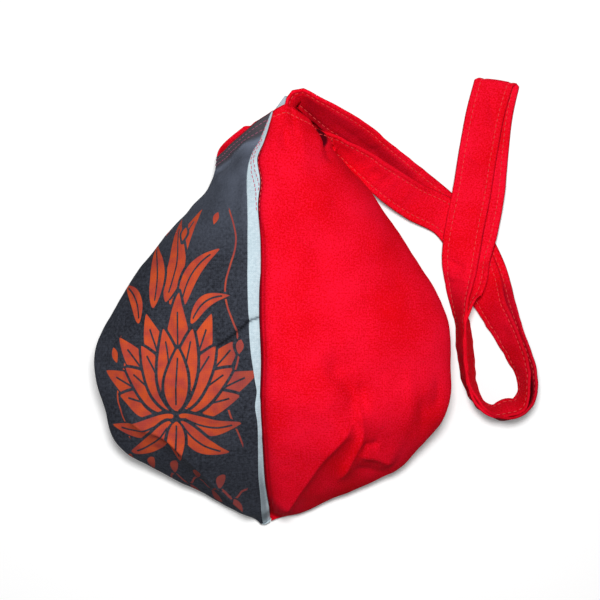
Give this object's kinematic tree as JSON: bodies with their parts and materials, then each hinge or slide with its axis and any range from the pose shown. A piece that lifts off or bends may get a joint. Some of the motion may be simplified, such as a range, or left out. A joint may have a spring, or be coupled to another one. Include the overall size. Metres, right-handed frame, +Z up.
{
  "type": "prayer bead bag",
  "caption": "Soft cloth pouch for prayer beads, pear-shaped, with a slanted open mouth, a finger slit in its upper seam and a long doubled carrying strap, lying on its side.",
  "frame": {"origin": "where the far seam rests on the table, below the middle of the pouch", "axes": "+Z up from the table, +Y along the pouch from its tip towards its mouth, +X towards the side where the strap lies"},
  "size_m": [0.3022, 0.3133, 0.1012],
  "materials": {
    "charcoal_cloth": "printed plain weave",
    "red_cloth": "printed plain weave",
    "white_cloth": "unprinted plain weave"
  },
  "bodies": {
    "bag": {"front_panel": "charcoal_cloth", "back_panel": "red_cloth", "near_seam_margin": "white_cloth", "far_seam_margin": "white_cloth", "mouth_facing_front": "red_cloth", "mouth_facing_back": "red_cloth", "slit_facing_front": "white_cloth", "slit_facing_back": "red_cloth", "strap_end_near": "red_cloth", "strap_end_far": "red_cloth"},
    "strap": {"strap": "red_cloth"}
  },
  "joints": [
    {"name": "strap_lift", "type": "hinge", "parent": "bag", "child": "strap", "pos_m": [0.075, 0.134, 0.04], "axis": [-0.6293, -0.7771, 0], "range_deg": [0, 110]}
  ]
}
